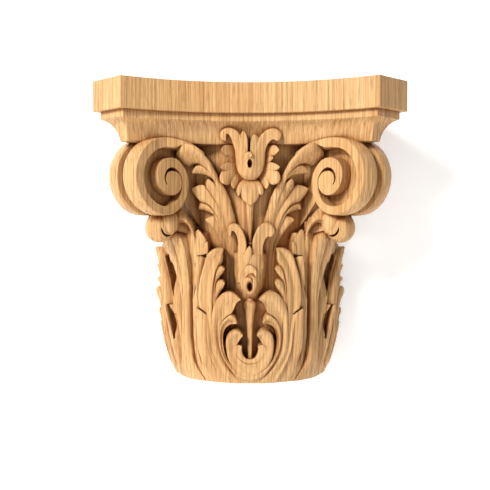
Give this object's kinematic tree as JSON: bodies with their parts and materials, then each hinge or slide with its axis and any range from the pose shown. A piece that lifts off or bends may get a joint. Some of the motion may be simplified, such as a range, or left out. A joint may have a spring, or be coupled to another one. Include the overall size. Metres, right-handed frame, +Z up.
{
  "type": "column capital",
  "caption": "Carved Corinthian half capital: concave abacus over corner volutes, acanthus leaves, fronds and central flowers, with a flat back.",
  "frame": {"origin": "middle of the bounding box's underside: on the flat underside, halfway between the side faces and halfway from the flat back to the front corners", "axes": "+Z up, front faces -Y, +X to the viewer's right when facing the front; the column's axis lies in the back plane"},
  "size_m": [0.3, 0.15, 0.297],
  "materials": {
    "oak": "fine sanded carved oak, vertical grain, satin"
  },
  "bodies": {
    "root": {"capital": "oak"}
  },
  "joints": []
}
